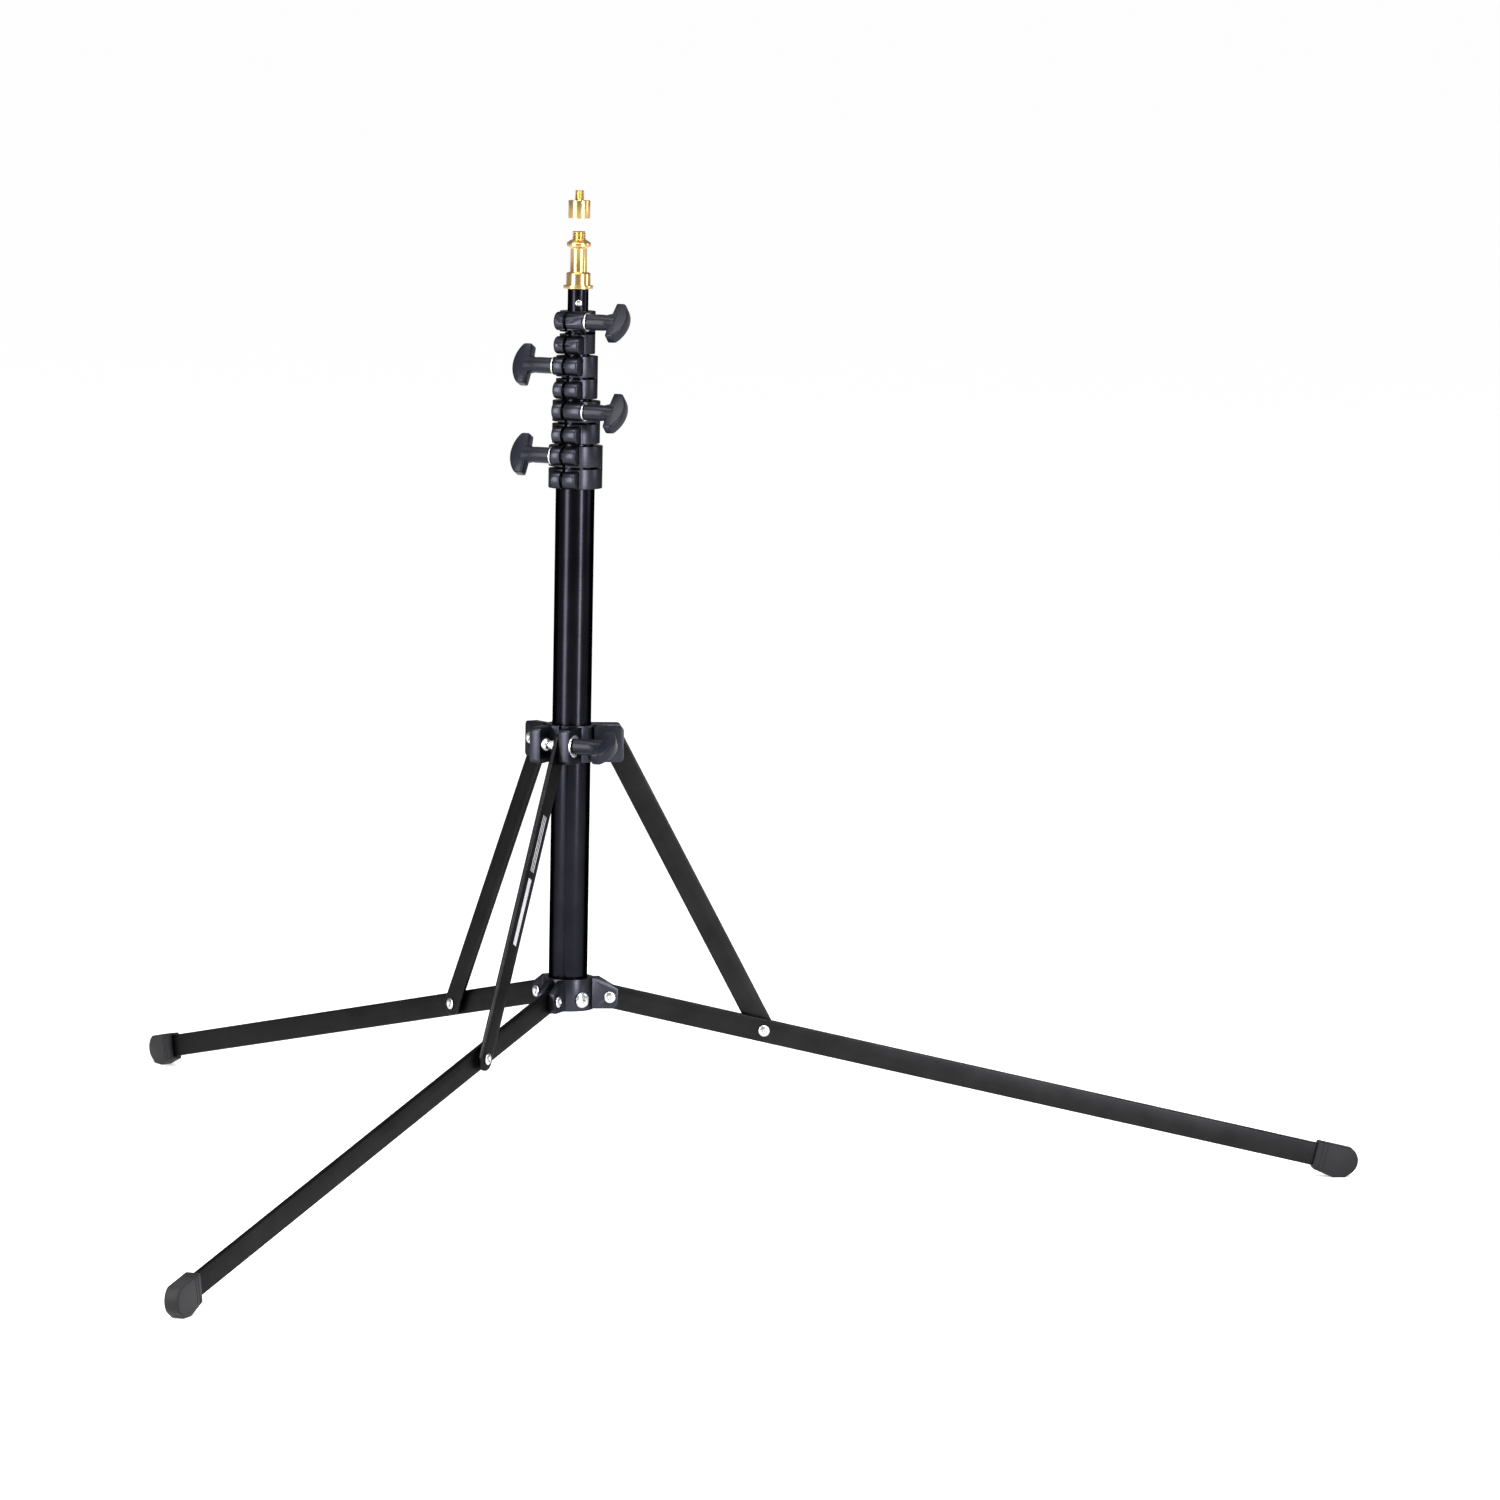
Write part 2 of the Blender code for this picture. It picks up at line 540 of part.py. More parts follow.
def add_adapter(carrier):
    """Loose brass adapter, held a little above the stud's thread."""
    axis = empty("adapter_axis", carrier, shift(0, 0, ADAPTER_Z))
    outline = [*ADAPTER_OUTLINE, *thread(*ADAPTER_THREAD), (0, ADAPTER_THREAD[2])]
    piece("adapter", turned(outline, ROUND_STEPS), BRASS, axis)


def centre_footprint(stand, feet):
    """Moves the stand so that the middle of its footprint is the origin."""
    bpy.context.view_layer.update()
    graph = bpy.context.evaluated_depsgraph_get()
    spots = []
    for foot in feet:
        solid = foot.evaluated_get(graph)
        spots += [solid.matrix_world @ corner.co for corner in solid.data.vertices]
    for axis in (0, 1):
        values = [spot[axis] for spot in spots]
        stand.location[axis] = -(min(values) + max(values)) / 2


def main():
    stand = empty("stand")
    plug = rod(PLUG_RADIUS, TUBE_BOTTOM, TUBE_BOTTOM + PLUG_HEIGHT, ROUND_STEPS)
    piece("column_plug", plug, NYLON, stand)
    add_tube("main_tube", 0, TUBE_BOTTOM, stand)
    add_base_collar(stand)
    feet = [add_leg(name, azimuth, stand) for name, azimuth in LEG_AZIMUTHS.items()]
    slider = empty("slide_axis", stand, shift(0, 0, COLLAR_Z))
    add_slide_collar(slider)
    for name, azimuth in LEG_AZIMUTHS.items():
        add_brace(name, azimuth, slider)
    carrier = stand
    for level in range(4):
        add_clamp(level, carrier)
        carrier = add_riser(level + 1, carrier)
    add_stud(carrier)
    add_adapter(carrier)
    centre_footprint(stand, feet)


for leftover in list(bpy.data.objects):
    bpy.data.objects.remove(leftover, do_unlink=True)
BLACK_METAL = material("black_anodised", (0.012, 0.012, 0.014), 0.35, 0.3)
BLACK_CASTING = material("black_casting", (0.014, 0.014, 0.016), 0.42, 0.2)
BLACK_PLASTIC = material("black_plastic", (0.020, 0.021, 0.026), 0.45, 0.0)
RUBBER = material("rubber", (0.025, 0.025, 0.027), 0.75, 0.0)
STEEL = material("steel", (0.75, 0.75, 0.76), 0.25, 1.0)
BRASS = material("brass", (0.83, 0.60, 0.24), 0.25, 1.0)
NYLON = material("nylon", (0.10, 0.10, 0.11), 0.5, 0.0)
main()
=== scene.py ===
"""Looks for the compact lighting stand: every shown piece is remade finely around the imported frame."""
import json
import math

import bmesh
import bpy
from mathutils import Matrix, Vector


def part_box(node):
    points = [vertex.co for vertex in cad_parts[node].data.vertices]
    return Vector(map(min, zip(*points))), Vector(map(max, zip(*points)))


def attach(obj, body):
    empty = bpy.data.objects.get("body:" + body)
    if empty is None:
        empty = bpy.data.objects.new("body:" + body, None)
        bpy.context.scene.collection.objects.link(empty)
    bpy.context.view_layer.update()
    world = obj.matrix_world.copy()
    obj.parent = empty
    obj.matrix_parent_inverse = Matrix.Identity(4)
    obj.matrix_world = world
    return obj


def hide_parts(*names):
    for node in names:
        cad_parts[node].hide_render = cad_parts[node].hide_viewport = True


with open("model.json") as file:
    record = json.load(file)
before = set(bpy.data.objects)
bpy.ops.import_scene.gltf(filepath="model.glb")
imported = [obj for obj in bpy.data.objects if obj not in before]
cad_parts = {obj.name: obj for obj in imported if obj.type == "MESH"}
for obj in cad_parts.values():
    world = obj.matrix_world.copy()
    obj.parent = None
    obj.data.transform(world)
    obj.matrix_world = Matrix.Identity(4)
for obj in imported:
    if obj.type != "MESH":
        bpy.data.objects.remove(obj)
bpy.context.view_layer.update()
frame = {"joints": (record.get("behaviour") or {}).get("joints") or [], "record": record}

# The camera, as seen from the column's axis with the right leg turned LEG_TURN towards the back
CAMERA_SPOT = (0.03295, -4.27376, 0.79458)
CAMERA_YAW = 0.0198
CAMERA_PITCH = -0.1182
CAMERA_ROLL = 0.0183
CAMERA_LENS = 156.97
LEG_TURN = math.radians(4.75)

# Stage: lamps by name, kind, place from the column's foot, power and size
FLOOR_HALF = 1500
SKY_SPREAD = math.radians(75)
LIGHT_AIM = Vector((0, 0, 0.35))
LIGHTS = (
    ("left_strip", "AREA", (-1.04, -0.82, 0.66), 27, (0.40, 1.2)),
    ("right_strip", "AREA", (0.78, -1.12, 0.66), 26, (0.20, 1.2)),
    ("right_side", "AREA", (2.0, -0.1, 1.0), 9, (0.6, 1.0)),
    ("overhead", "AREA", (-0.25, -0.55, 2.1), 26, (1.5, 0.45)),
    ("soft_sky", "SUN", (-0.3, -0.4, 3.0), 1.25),
)
SENSOR_WIDTH = 36
FLOOR_THICKNESS = 0.02
PAPER_TONE = (0.80, 0.80, 0.80, 1)
PAPER_ROUGHNESS = 0.9
PAPER_SHINE = 0.1
PAPER_GLOW = 0.38
WORLD_STRENGTH = 0.38
WHITE = (1, 1, 1, 1)

# Attribute that keeps each corner's place in its own piece, for grain that runs along the piece
OWN_PLACE = "own_place"

# Fine sizes that the frame's boxes don't give
GAP = 0.0003
ROUND_STEPS = 72
SMALL_STEPS = 36
LEG_SLOPE = math.radians(12.56)
LEG_PIVOT_Z = 0.1216
BAR_HALF_HEIGHT = 0.0078
BAR_EDGE = 0.0010
LEG_LENGTH = 0.5050
BRACE_PIN_X = 0.1058
BRACE_FACES = (0.0034, 0.0064)
PIN_RADIUS = 0.0022
PIN_HOLE = 0.0025
RIVET_HEAD = 0.0038
RIVET_RISE = 0.0014
FOOT_START = 0.4877
FOOT_SOLE = (0.5030, 0.5110)
FOOT_TIP_X = 0.5072
FOOT_TIP_RADIUS = 0.0102
FOOT_HALF_WIDTH = 0.0050
FOOT_BOTTOM = -0.0096
FOOT_TOP = 0.0094
COLLAR_RADIUS = 0.0170
PIVOT_RADIUS = 0.0275
BASE_EARS = (0.0021, 0.0062)
BASE_EAR_REACH = 0.0328
SLIDE_EARS = (0.0067, 0.0142)
SLIDE_EAR_REACH = 0.0335
SLIDE_Z = (-0.0128, 0.0114)
CLAMP_SHOULDER = 0.0136
SAW_CUT = (0.0128, 0.0144)
LUG_SLIT = 0.00115
LUG_BACK = 0.0006
LUG_EDGE = 0.0013
LOWER_LUG = (0.0060, 0.0058)
UPPER_LUG = (0.0216, 0.0061)
LUG_DISTANCES = (0.0170, 0.01615, 0.0153, 0.01445)
LUG_ENDS = (-0.0080, 0.0100)
LONG_LUG_END = 0.0132
SPOT_DEPTH = 0.0002
SPOT_RADIUS = 0.0063
KNOB_SIDES = (-1, 1, -1, 1)
KNOB_LEANS = (25, 40, 25, 42)
COLLAR_KNOB_LEAN = 62
KNOB_STEM = 0.0053
KNOB_HALF_SPAN = 0.0138
KNOB_HALF_THICKNESS = 0.0040
KNOB_WING_Z = 0.0165
KNOB_CROWN_Z = 0.0282
KNOB_CROWN_RADIUS = 0.0203
KNOB_SOCKET = 0.0080
TUBE_WALL = 0.0011
TUBE_EDGE = 0.0003
SOFT_EDGE = 0.0004
TUBES = ("main_tube", "riser_1", "riser_2", "riser_3", "riser_4")

# How finely shapes are drawn, and where shading turns sharp
FINE_STEPS = 48
ARC_STEPS = 24
EAR_STEPS = 8
EASED_STEPS = 3
EASED_SHARE = 0.45
THREAD_ROWS = 8
SHARP_ANGLE = math.radians(32)
BEVEL_ANGLE = math.radians(35)

# How far cutters reach, mostly well past what they cut
CUT = 0.01
WIDE_CUT = 0.02
LONG_CUT = 0.03
RADIAL_CUT = 0.04
CUT_PAST = 0.001

# Rivet heads, in shares of their rise and their radius
DOME_STEPS = 8
DOME_SWEEP = math.radians(62)
DOME_RIM = 0.25
DIMPLE_FLOOR = 0.35
DIMPLE_LIP = 0.12
DIMPLE_RADII = (0.34, 0.25)

# Feet: two grooves round the cap, cut down to GROOVE_FLOOR
FOOT_TIP_ARC = (-47, 67, 14)
FOOT_EDGE = 0.0013
FOOT_POCKET_PAST = 0.002
GROOVES = (0.4915, 0.4945)
GROOVE_HALF = 0.0003
GROOVE_OUTSIDE = ((-0.0061, 0.0061), (-0.012, 0.012))
GROOVE_FLOOR = ((-0.0047, 0.0047), (-0.0092, 0.0090))

# Collars. Outlines of turned pieces are (radius, height) pairs.
EAR_ROOT = 0.0140
EAR_INSET = 0.0004
BASE_EAR_CORNER = (0.0028, 0.0030)
BASE_EAR_SHOULDER = (0.0210, 0.0075)
BASE_SLOT_PAST = 0.0006
BASE_CUT_Z = (0.10, 0.15)
BASE_EDGE = 0.00035
BASE_SCREW_Z = 0.1210
BASE_SCREW_TURN = math.radians(-60)
BASE_SCREW_HOLE = (0.0023, 0.010, 0.020)
BASE_SCREW_SHANK = 0.0020
BASE_SCREW_HEAD = ((0.00515, 0), (0.00515, 0.0004), (0.0048, 0.0009), (0.0040, 0.0014), (0.0030, 0.0017),
                   (0.0016, 0.0018), (0.0014, 0.0016), (0.0014, 0.0002), (0, 0.0002))
SLIDE_EAR_CORNER = 0.0028
SLIDE_SLOT_PAST = 0.0003
SLIDE_SPLIT = 0.0008
SLIDE_EDGE = 0.0004
COLLAR_BOLT_HOLE = 0.0033
COLLAR_HOLE_START = -0.0135
COLLAR_NUT = ((0.0033, -0.0064), (0.00445, -0.0064), (0.00445, -0.0045), (0.0042, -0.0036),
              (0.0037, -0.0029), (0.0033, -0.0026))
COLLAR_WASHER = (0.0073, 0.0013)
COLLAR_BOLT = (0.0030, -SLIDE_EARS[1] - 0.0132)

# Braces: the pin's washer, and the print as (start, end) along the brace and half-widths
BRACE_WASHER_RADIUS = 0.0045
BRACE_WASHER_FACES = (0.0021, 0.0031)
STRIP_X = (0.094, 0.140)
STRIP_HALF = 0.0022
LINE_X = (0.050, 0.089)
LINE_HALF = 0.0004
LINE_HEIGHTS = (-0.0020, 0.0, 0.0020)
PRINT_SUNK = 0.0001
PRINT_RISE = 0.00006

# Clamps: sleeve, screw in the lower lug, bolt in the upper one
SLEEVE_WALL = 0.0049
SLEEVE_THINNING = 0.0005
SLEEVE_EDGE = 0.0006
CLAMP_EDGE = 0.00022
SAW_BACK = -0.004
SCREW_SINK = 0.0030
SCREW_SEAT = 0.0040
SCREW_HOLE = (0.0024, 0.0085)
SCREW_HEAD = 0.0037
SCREW_SHANK = (0.0021, 0.0082)
SCREW_SOCKET = (0.0015, 0.0014)
BOLT_HOLE = 0.0029
BOLT_HOLE_WALL = 0.0015
CLAMP_WASHER = (0.0060, 0.0010)
CLAMP_BOLT = 0.0026

# Knobs
KNOB_WING_LIP = 0.0005
KNOB_WING_EDGE = 0.0018
KNOB_STEM_OUTLINE = ((0, 0), (0.0049, 0), (KNOB_STEM, 0.0005), (KNOB_STEM, 0.0110), (0.0051, 0.0130),
                     (0.0045, 0.0200), (0, 0.0200))
KNOB_FLARE = ((0, 0.0125), (0.0050, 0.0125), (0.0062, 0.0175), (0.0066, 0.0200), (0, 0.0215))
KNOB_FLARE_HALF = 0.0042
WASHER_EDGE = 0.00025

# Stud and adapter. Threads are (radius, pitch, depth); they end in a chamfer THREAD_CHAMFER high.
THREAD_CHAMFER = 0.0004
STUD_FLANGE_Z = 0.0160
STUD_BODY = ((0.0098, 0), (0.0098, 0.0022), (0.0080, 0.0022), (0.0080, 0.0098), (0.0070, 0.0106),
             (0.0055, 0.0107), (0.0055, 0.0262), (0.0071, 0.0272), (0.00795, 0.0275), (0.00795, 0.0297),
             (0.0060, 0.0312), (0.0048, 0.0318))
STUD_EDGE = 0.00035
STUD_THREAD = (0.0046, 0.00159, 0.0008)
STUD_THREAD_START = 0.0321
STUD_END_RADIUS = 0.0038
STUD_PIN_HOLE = 0.0018
STUD_PIN = (0.0022, 0.0007, 0.0015)
ADAPTER_BODY = ((0, 0.0070), (0.0049, 0.0070), (0.0049, 0), (0.0072, 0), (0.0072, 0.0117), (0.0030, 0.0117))
ADAPTER_EDGE = 0.0004
ADAPTER_THREAD = (0.0031, 0.00127, 0.0006)
ADAPTER_THREAD_START = 0.0120
ADAPTER_END_RADIUS = 0.0024

# Finishes: the noise's used span, and how broad tone and fine grain are mixed
NOISE_SPAN = (0.3, 0.7)
BROAD_NOISE = (45, 5)
TURNED_DETAIL = 2
GRAIN_DETAIL = 3
BROAD_SHARE = 0.4
FINE_SHARE = 0.6
ROUGH_SPREAD = (0.90, 1.12)
RELIEF_STRENGTH = 0.5

BODY_OF = {n: body for body, nodes in frame["record"]["behaviour"]["bodies"].items() for n in nodes}
SLOT_OF = {entry["node"]: entry["material_slot"] for entry in frame["record"]["subparts"]}
JOINTS = {joint["name"]: joint for joint in frame["joints"]}
LOW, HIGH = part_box("main_tube")
COLUMN = Vector(((LOW.x + HIGH.x) / 2, (LOW.y + HIGH.y) / 2, 0))
LEGS = {"right": 0.0, "rear": math.radians(120), "front": math.radians(-120)}
ALONG_X = Matrix.Rotation(math.radians(90), 4, "Y")
ALONG_Y = Matrix.Rotation(math.radians(-90), 4, "X")
ON_COLUMN = Matrix.Translation(COLUMN)
FRONT_TURN = Matrix.Rotation(LEGS["front"], 4, "Z")


def shift(x, y, z):
    return Matrix.Translation((x, y, z))


def spin(angle):
    return Matrix.Rotation(angle, 4, "Z")


# ---- Shapes ----

def turned(outline, steps=SMALL_STEPS):
    """Revolves points about Z, axis to axis or closed. Those with a depth and a pitch follow a thread."""
    form = bmesh.new()
    rings = []
    for radius, z, *screw in outline:
        if radius == 0:
            rings.append([form.verts.new((0, 0, z))] * steps)
            continue
        row = []
        for step in range(steps):
            angle = math.tau * step / steps
            reach = radius
            if screw:
                depth, pitch = screw
                reach -= depth * abs(2 * ((z / pitch - angle / math.tau) % 1) - 1)
            row.append(form.verts.new((reach * math.cos(angle), reach * math.sin(angle), z)))
        rings.append(row)
    pairs = list(zip(rings, rings[1:]))
    if outline[0][0] > 0:
        pairs.append((rings[-1], rings[0]))
    for low, high in pairs:
        for step in range(steps):
            form.faces.new(list(dict.fromkeys((low[step], low[step - 1], high[step - 1], high[step]))))
    bmesh.ops.recalc_face_normals(form, faces=form.faces)
    return form


def eased(corners, radius):
    """The outline with each corner between two others rounded off."""
    points = [corners[0]]
    for before, corner, after in zip(corners, corners[1:], corners[2:]):
        here = Vector(corner)
        ways = [Vector(before), Vector(after)]
        size = min(radius, *((way - here).length * EASED_SHARE for way in ways))
        start, end = (here + (way - here).normalized() * size for way in ways)
        for step in range(EASED_STEPS + 1):
            t = step / EASED_STEPS
            points.append(tuple((1 - t) ** 2 * start + 2 * t * (1 - t) * here + t * t * end))
    return points + [corners[-1]]


def stepped(start, *lengths):
    """Outline of plain lengths on one axis, each given by its radius and where it ends."""
    outline = [(0, start)]
    for radius, end in lengths:
        outline += [(radius, outline[-1][1]), (radius, end)]
    return outline + [(0, outline[-1][1])]


def raised(outline, base):
    return [(radius, base + z) for radius, z in outline]


def rod(radius, low, high, steps=SMALL_STEPS, edge=0.0):
    outline = stepped(low, (radius, high))
    return turned(eased(outline, edge) if edge else outline, steps)


def ring(inner, outer, low, high, steps, edge):
    """Starts half-way up the bore, so that its corners can be eased too."""
    middle = (inner, (low + high) / 2)
    outline = [middle, (inner, low), (outer, low), (outer, high), (inner, high), middle]
    return turned(eased(outline, edge)[:-1], steps)


def slab(outline, low, high):
    """Extrudes (x, z) points along Y."""
    form = bmesh.new()
    face = form.faces.new([form.verts.new((x, low, z)) for x, z in outline])
    grown = bmesh.ops.extrude_face_region(form, geom=[face])["geom"]
    far = [part for part in grown if isinstance(part, bmesh.types.BMVert)]
    bmesh.ops.translate(form, verts=far, vec=(0, high - low, 0))
    bmesh.ops.recalc_face_normals(form, faces=form.faces)
    return form


def block(x, y, z):
    return slab([(x[0], z[0]), (x[1], z[0]), (x[1], z[1]), (x[0], z[1])], *y)


def arc(centre, radius, start, end, steps):
    angles = [math.radians(start + (end - start) * step / steps) for step in range(steps + 1)]
    return [(centre[0] + radius * math.cos(a), centre[1] + radius * math.sin(a)) for a in angles]


def dome(radius, base, rise):
    """Outline of a rivet head with a short upright rim and a dimple in its crown."""
    angles = [DOME_SWEEP * step / DOME_STEPS for step in range(DOME_STEPS + 1)]
    rim = base + rise * DOME_RIM
    crown = rise * (1 - DOME_RIM)
    floor = base + rise * DIMPLE_FLOOR
    lip, foot = DIMPLE_RADII
    points = [(radius, base)] + [(radius * math.cos(a), rim + crown * math.sin(a)) for a in angles]
    return points + [(radius * lip, floor + rise * DIMPLE_LIP), (radius * foot, floor), (0, floor)]


def thread(size, low, high):
    """Points up a thread, each with the depth and pitch that turned() follows."""
    radius, pitch, depth = size
    count = round((high - low) / pitch * THREAD_ROWS)
    return [(radius, low + (high - low) * row / count, depth, pitch) for row in range(count + 1)]


def mesh_of(form):
    if isinstance(form, bpy.types.Mesh):
        return form
    mesh = bpy.data.meshes.new("shape")
    form.to_mesh(mesh)
    form.free()
    return mesh


def loose(form):
    obj = bpy.data.objects.new("shape", mesh_of(form))
    bpy.context.scene.collection.objects.link(obj)
    return obj


def shaped(form, *steps):
    """Runs a form through joins, cuts and bevels, and returns the finished mesh."""
    base = loose(form)
    tools = []
    for kind, value, *more in steps:
        if kind == "BEVEL":
            modifier = base.modifiers.new(kind, "BEVEL")
            modifier.width = value
            modifier.segments = more[0]
            modifier.limit_method = "ANGLE"
            modifier.angle_limit = BEVEL_ANGLE
            continue
        tool = loose(value)
        if more:
            tool.data.transform(more[0])
        tools.append(tool)
        modifier = base.modifiers.new(kind, "BOOLEAN")
        modifier.operation = kind
        modifier.solver = "EXACT"
        modifier.object = tool
    bpy.context.view_layer.update()
    graph = bpy.context.evaluated_depsgraph_get()
    mesh = bpy.data.meshes.new_from_object(base.evaluated_get(graph))
    for obj in (base, *tools):
        bpy.data.objects.remove(obj, do_unlink=True)
    return mesh


def show(node, form, place, look=None, name=None):
    """Shows a finished piece on its CAD node's body, in its slot's look unless another is given. Unless
    named apart, it replaces the node.
    """
    mesh = mesh_of(form)
    mesh.materials.clear()
    mesh.materials.append(look or LOOKS[SLOT_OF[node]])
    mesh.shade_smooth()
    mesh.set_sharp_from_angle(angle=SHARP_ANGLE)
    spots = mesh.attributes.new(OWN_PLACE, "FLOAT_VECTOR", "POINT")
    spots.data.foreach_set("vector", [value for corner in mesh.vertices for value in corner.co])
    mesh.transform(place)
    piece = bpy.data.objects.new(name or f"{node}_finished", mesh)
    bpy.context.scene.collection.objects.link(piece)
    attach(piece, BODY_OF[node])
    if name is None:
        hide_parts(node)


# ---- Materials ----

def finish(name, dark, light, rough, metallic, grain, bump,
           stretch=(1, 1, 1), specular=0.5, rim=1.0, turned_grain=False):
    """A procedural finish: two mixed tones, uneven roughness, and a fine grain, stretched or turned."""
    made = bpy.data.materials.new(name)
    made.use_nodes = True
    nodes = made.node_tree.nodes
    links = made.node_tree.links
    shader = nodes["Principled BSDF"]
    shader.inputs["Metallic"].default_value = metallic
    shader.inputs["Specular IOR Level"].default_value = specular
    shader.inputs["Specular Tint"].default_value = (rim, rim, rim, 1)
    own_place = nodes.new("ShaderNodeAttribute")
    own_place.attribute_name = OWN_PLACE
    place = own_place.outputs["Vector"]

    def noise(vector, scale, detail):
        node = nodes.new("ShaderNodeTexNoise")
        node.inputs["Scale"].default_value = scale
        node.inputs["Detail"].default_value = detail
        links.new(vector, node.inputs["Vector"])
        return node.outputs["Fac"]

    def ranged(value, low, high):
        node = nodes.new("ShaderNodeMapRange")
        node.inputs["From Min"].default_value = NOISE_SPAN[0]
        node.inputs["From Max"].default_value = NOISE_SPAN[1]
        node.inputs["To Min"].default_value = low
        node.inputs["To Max"].default_value = high
        links.new(value, node.inputs["Value"])
        return node.outputs["Result"]

    if turned_grain:
        split = nodes.new("ShaderNodeSeparateXYZ")
        flat = nodes.new("ShaderNodeVectorMath")
        flat.operation = "MULTIPLY"
        flat.inputs[1].default_value = (1, 1, 0)
        far = nodes.new("ShaderNodeVectorMath")
        far.operation = "LENGTH"
        join = nodes.new("ShaderNodeCombineXYZ")
        links.new(place, split.inputs[0])
        links.new(place, flat.inputs[0])
        links.new(flat.outputs[0], far.inputs[0])
        links.new(far.outputs["Value"], join.inputs["X"])
        links.new(split.outputs["Z"], join.inputs["Z"])
        fine = noise(join.outputs[0], grain, TURNED_DETAIL)
    else:
        mapping = nodes.new("ShaderNodeMapping")
        mapping.inputs["Scale"].default_value = stretch
        links.new(place, mapping.inputs["Vector"])
        fine = noise(mapping.outputs[0], grain, GRAIN_DETAIL)
    broad = noise(place, *BROAD_NOISE)
    mix = nodes.new("ShaderNodeMix")
    mix.data_type = "RGBA"
    mix.inputs["A"].default_value = (*dark, 1)
    mix.inputs["B"].default_value = (*light, 1)
    links.new(ranged(broad, 0, 1), mix.inputs["Factor"])
    links.new(mix.outputs["Result"], shader.inputs["Base Color"])
    blend = nodes.new("ShaderNodeMath")
    blend.operation = "MULTIPLY_ADD"
    blend.inputs[1].default_value = BROAD_SHARE
    links.new(broad, blend.inputs[0])
    scaled = nodes.new("ShaderNodeMath")
    scaled.operation = "MULTIPLY"
    scaled.inputs[1].default_value = FINE_SHARE
    links.new(fine, scaled.inputs[0])
    links.new(scaled.outputs[0], blend.inputs[2])
    smooth, coarse = (rough * share for share in ROUGH_SPREAD)
    links.new(ranged(blend.outputs[0], smooth, coarse), shader.inputs["Roughness"])
    relief = nodes.new("ShaderNodeBump")
    relief.inputs["Strength"].default_value = RELIEF_STRENGTH
    relief.inputs["Distance"].default_value = bump
    links.new(fine, relief.inputs["Height"])
    links.new(relief.outputs[0], shader.inputs["Normal"])
    return made


TRAITS = {
    "black_anodised": dict(dark=(0.0082, 0.0082, 0.0112), light=(0.0118, 0.0118, 0.0156), rough=0.22,
                           metallic=1.0, grain=1400, bump=0.000008, stretch=(1, 1, 0.02), rim=0.12),
    "black_casting": dict(dark=(0.0210, 0.0216, 0.0285), light=(0.0290, 0.0297, 0.0375), rough=0.31,
                          metallic=0.9, grain=1500, bump=0.00002, specular=0.4, rim=0.35),
    "black_plastic": dict(dark=(0.0046, 0.0052, 0.0092), light=(0.0072, 0.0080, 0.0135), rough=0.30,
                          metallic=0.0, grain=1900, bump=0.00002, specular=0.22, rim=0.6),
    "rubber": dict(dark=(0.0075, 0.0076, 0.0086), light=(0.0125, 0.0126, 0.0140), rough=0.52,
                   metallic=0.0, grain=1100, bump=0.00008, specular=0.20, rim=0.6),
    "steel": dict(dark=(0.40, 0.40, 0.41), light=(0.54, 0.54, 0.55), rough=0.26,
                  metallic=1.0, grain=2600, bump=0.000002, turned_grain=True),
    "brass": dict(dark=(0.55, 0.36, 0.135), light=(0.64, 0.44, 0.195), rough=0.22,
                  metallic=1.0, grain=2200, bump=0.000002, turned_grain=True),
    "nylon": dict(dark=(0.050, 0.050, 0.055), light=(0.070, 0.070, 0.076), rough=0.50,
                  metallic=0.0, grain=900, bump=0.00003),
    "black_bar": dict(dark=(0.0118, 0.0118, 0.0124), light=(0.0165, 0.0165, 0.0172), rough=0.36,
                      metallic=1.0, grain=1500, bump=0.00002, stretch=(0.03, 1, 1), rim=0.55),
    "label_print": dict(dark=(0.26, 0.26, 0.28), light=(0.36, 0.36, 0.38), rough=0.45,
                        metallic=0.0, grain=900, bump=0.00001),
}
LOOKS = {name: finish(name, **traits) for name, traits in TRAITS.items()}


# ---- Pieces ----

def column_place(node):
    """A place on the column's axis at the node's lower end, and the node's radius and height."""
    low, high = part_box(node)
    return ON_COLUMN @ shift(0, 0, low.z), (high.x - low.x) / 2, high.z - low.z


def tube_bore():
    """Radius of a bore that runs on the main tube."""
    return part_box("main_tube")[1].x - COLUMN.x + GAP


def show_tubes():
    for node in TUBES:
        place, radius, height = column_place(node)
        form = ring(radius - TUBE_WALL, radius, 0, height, ROUND_STEPS, TUBE_EDGE)
        if node == TUBES[-1]:
            hole = shift(0, 0, pin_height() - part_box(node)[0].z) @ ALONG_Y
            form = shaped(form, ("DIFFERENCE", rod(STUD_PIN_HOLE, -CUT, CUT), hole))
        show(node, form, place)
    for node in ["column_plug", *(f"riser_bush_{n}" for n in (1, 2, 3, 4))]:
        place, radius, height = column_place(node)
        show(node, rod(radius, 0, height, ROUND_STEPS, SOFT_EDGE), place)


def pin_height():
    low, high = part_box("stud_pin")
    return (low.z + high.z) / 2


def rivet_form(low, high, head=RIVET_HEAD, rise=RIVET_RISE, shank=PIN_RADIUS):
    under = [(r, 2 * low - z) for r, z in dome(head, low, rise)]
    return turned(under[::-1] + [(shank, low), (shank, high)] + dome(head, high, rise))


